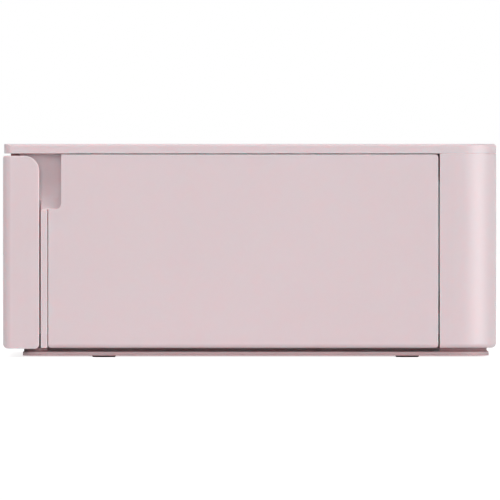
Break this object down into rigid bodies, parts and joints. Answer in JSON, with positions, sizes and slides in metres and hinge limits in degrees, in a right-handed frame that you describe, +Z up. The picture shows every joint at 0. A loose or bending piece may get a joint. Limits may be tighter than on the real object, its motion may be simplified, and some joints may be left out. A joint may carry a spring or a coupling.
{
  "type": "compact photo printer",
  "caption": "Low rectangular photo printer with a fold-down front cover, a fold-down side door over its ink cassette, a screen and keys on the lid, and a dye-sublimation print mechanism inside.",
  "frame": {"origin": "middle of the footprint, on the table under the feet", "axes": "+Z up; -Y is the front, where the paper cassette goes in; +X is the side with the ink door"},
  "size_m": [0.1822, 0.133, 0.0576],
  "materials": {
    "shell": "moulded, fine matt texture",
    "base": "moulded, matt",
    "foot": "soft matt rubber",
    "bright_steel": "ground and plated steel",
    "sheet_steel": "zinc-plated sheet",
    "screen": "black printed cover window",
    "screen_back": "satin",
    "board": "solder mask",
    "black_plastic": "moulded, matt",
    "acetal": "moulded, satin",
    "brass": "turned",
    "roller_rubber": "ground rubber",
    "heat_sink": "extruded",
    "head_ceramic": "glazed",
    "cassette_plastic": "moulded",
    "ribbon": "dye-coated film"
  },
  "bodies": {
    "printer": {"base_tray": "base", "outer_case": "shell", "top_cover": "shell", "front_frame": "shell", "bay_frame": "shell", "feet": "foot", "base_screws": "bright_steel", "lcd_window": "screen", "lcd_module": "screen_back", "lcd_bracket": "sheet_steel", "key_board": "board", "main_board": "board", "board_parts": "black_plastic", "card_slot": "sheet_steel", "usb_port": "sheet_steel", "dc_inlet": "black_plastic", "chassis_left": "sheet_steel", "chassis_right": "sheet_steel", "chassis_tie": "sheet_steel", "gear_plate": "sheet_steel", "cross_shafts": "bright_steel", "roller_bearings": "acetal", "feed_motor": "sheet_steel", "paper_guide": "black_plastic", "path_guide": "black_plastic", "fan_housing": "black_plastic"},
    "front_cover": {"front_cover": "shell"},
    "ink_door": {"ink_door": "shell"},
    "release_lever": {"release_lever": "acetal"},
    "power_key": {"power_key": "base"},
    "home_key": {"home_key": "base"},
    "back_key": {"back_key": "base"},
    "edit_key": {"edit_key": "base"},
    "print_key": {"print_key": "base"},
    "ok_key": {"ok_key": "base"},
    "up_key": {"up_key": "base"},
    "down_key": {"down_key": "base"},
    "left_key": {"left_key": "base"},
    "right_key": {"right_key": "base"},
    "motor_pinion": {"motor_pinion": "brass"},
    "reduction_gear": {"reduction_gear": "acetal"},
    "capstan": {"capstan_roller": "bright_steel", "capstan_gear": "acetal"},
    "pinch_roller": {"pinch_roller": "roller_rubber"},
    "platen": {"platen_roller": "roller_rubber", "platen_shaft": "bright_steel"},
    "ribbon_drive": {"ribbon_drive": "acetal"},
    "pickup_arm": {"pickup_arm": "acetal"},
    "pickup_roller": {"pickup_roller": "roller_rubber"},
    "head": {"head_bracket": "sheet_steel", "head_heatsink": "heat_sink", "head_strip": "head_ceramic", "head_springs": "bright_steel"},
    "head_cam": {"head_cam": "acetal"},
    "ink_cassette": {"cassette_shell": "cassette_plastic", "ribbon_film": "ribbon"},
    "supply_spool": {"supply_spool": "ribbon"},
    "take_up_spool": {"take_up_spool": "ribbon"},
    "fan_rotor": {"fan_rotor": "black_plastic"}
  },
  "joints": [
    {"name": "front_cover_hinge", "type": "hinge", "parent": "printer", "child": "front_cover", "pos_m": [0, -0.0637, 0.0046], "axis": [1, 0, 0], "range_deg": [0, 90]},
    {"name": "ink_door_hinge", "type": "hinge", "parent": "printer", "child": "ink_door", "pos_m": [0.0883, 0, 0.00536], "axis": [0, 1, 0], "range_deg": [0, 90]},
    {"name": "release_lever_slide", "type": "slide", "parent": "printer", "child": "release_lever", "axis": [0, 0, -1], "range_m": [0, 0.003], "stiffness_N_per_m": 60},
    {"name": "power_key_press", "type": "slide", "parent": "printer", "child": "power_key", "axis": [0, 0, -1], "range_m": [0, 0.0004], "stiffness_N_per_m": 800, "springref_m": -0.0003},
    {"name": "home_key_press", "type": "slide", "parent": "printer", "child": "home_key", "axis": [0, 0, -1], "range_m": [0, 0.0004], "stiffness_N_per_m": 800, "springref_m": -0.0003},
    {"name": "back_key_press", "type": "slide", "parent": "printer", "child": "back_key", "axis": [0, 0, -1], "range_m": [0, 0.0004], "stiffness_N_per_m": 800, "springref_m": -0.0003},
    {"name": "edit_key_press", "type": "slide", "parent": "printer", "child": "edit_key", "axis": [0, 0, -1], "range_m": [0, 0.0004], "stiffness_N_per_m": 800, "springref_m": -0.0003},
    {"name": "print_key_press", "type": "slide", "parent": "printer", "child": "print_key", "axis": [0, 0, -1], "range_m": [0, 0.0004], "stiffness_N_per_m": 800, "springref_m": -0.0003},
    {"name": "ok_key_press", "type": "slide", "parent": "printer", "child": "ok_key", "axis": [0, 0, -1], "range_m": [0, 0.0004], "stiffness_N_per_m": 800, "springref_m": -0.0003},
    {"name": "up_key_press", "type": "slide", "parent": "printer", "child": "up_key", "axis": [0, 0, -1], "range_m": [0, 0.0004], "stiffness_N_per_m": 800, "springref_m": -0.0003},
    {"name": "down_key_press", "type": "slide", "parent": "printer", "child": "down_key", "axis": [0, 0, -1], "range_m": [0, 0.0004], "stiffness_N_per_m": 800, "springref_m": -0.0003},
    {"name": "left_key_press", "type": "slide", "parent": "printer", "child": "left_key", "axis": [0, 0, -1], "range_m": [0, 0.0004], "stiffness_N_per_m": 800, "springref_m": -0.0003},
    {"name": "right_key_press", "type": "slide", "parent": "printer", "child": "right_key", "axis": [0, 0, -1], "range_m": [0, 0.0004], "stiffness_N_per_m": 800, "springref_m": -0.0003},
    {"name": "capstan_turn", "type": "hinge", "parent": "printer", "child": "capstan", "pos_m": [0, 0.05393, 0.0144], "axis": [1, 0, 0], "continuous": true},
    {"name": "pinch_roller_turn", "type": "hinge", "parent": "printer", "child": "pinch_roller", "pos_m": [0, 0.05393, 0.0222], "axis": [1, 0, 0], "continuous": true},
    {"name": "platen_turn", "type": "hinge", "parent": "printer", "child": "platen", "pos_m": [0, 0.0155, 0.0121], "axis": [1, 0, 0], "continuous": true},
    {"name": "reduction_gear_turn", "type": "hinge", "parent": "printer", "child": "reduction_gear", "pos_m": [0, 0.04076, 0.0135], "axis": [1, 0, 0], "continuous": true},
    {"name": "motor_pinion_turn", "type": "hinge", "parent": "printer", "child": "motor_pinion", "pos_m": [0, 0.02739, 0.016], "axis": [1, 0, 0], "continuous": true},
    {"name": "ribbon_drive_turn", "type": "hinge", "parent": "printer", "child": "ribbon_drive", "pos_m": [0, 0.0355, 0.031], "axis": [1, 0, 0], "continuous": true},
    {"name": "pickup_arm_swing", "type": "hinge", "parent": "printer", "child": "pickup_arm", "pos_m": [0.017, -0.014, 0.042], "axis": [1, 0, 0], "range_deg": [0, 25]},
    {"name": "pickup_roller_turn", "type": "hinge", "parent": "pickup_arm", "child": "pickup_roller", "pos_m": [0.017, -0.027, 0.036], "axis": [1, 0, 0], "continuous": true},
    {"name": "head_swing", "type": "hinge", "parent": "printer", "child": "head", "pos_m": [0, 0.05393, 0.0435], "axis": [1, 0, 0], "range_deg": [0, 5]},
    {"name": "head_cam_turn", "type": "hinge", "parent": "printer", "child": "head_cam", "pos_m": [0, 0.002, 0.036], "axis": [1, 0, 0], "range_deg": [0, 180]},
    {"name": "cassette_slide", "type": "slide", "parent": "printer", "child": "ink_cassette", "axis": [1, 0, 0], "range_m": [0, 0.006]},
    {"name": "supply_spool_turn", "type": "hinge", "parent": "ink_cassette", "child": "supply_spool", "pos_m": [0, -0.0045, 0.031], "axis": [1, 0, 0], "continuous": true},
    {"name": "take_up_spool_turn", "type": "hinge", "parent": "ink_cassette", "child": "take_up_spool", "pos_m": [0, 0.0355, 0.031], "axis": [1, 0, 0], "continuous": true},
    {"name": "fan_turn", "type": "hinge", "parent": "printer", "child": "fan_rotor", "pos_m": [0, 0.032, 0.0361], "axis": [1, 0, 0], "continuous": true}
  ],
  "couplings": [
    {"joint": "pinch_roller_turn", "follows": "capstan_turn", "ratio": -0.875},
    {"joint": "platen_turn", "follows": "capstan_turn", "ratio": 0.60345},
    {"joint": "reduction_gear_turn", "follows": "capstan_turn", "ratio": -2.3},
    {"joint": "motor_pinion_turn", "follows": "capstan_turn", "ratio": 5.52},
    {"joint": "ribbon_drive_turn", "follows": "capstan_turn", "ratio": -0.58974},
    {"joint": "take_up_spool_turn", "follows": "capstan_turn", "ratio": -0.58974},
    {"joint": "supply_spool_turn", "follows": "capstan_turn", "ratio": -0.58974},
    {"joint": "head_cam_turn", "follows": "head_swing", "ratio": 36},
    {"joint": "release_lever_slide", "follows": "cassette_slide", "ratio": 0.5}
  ]
}
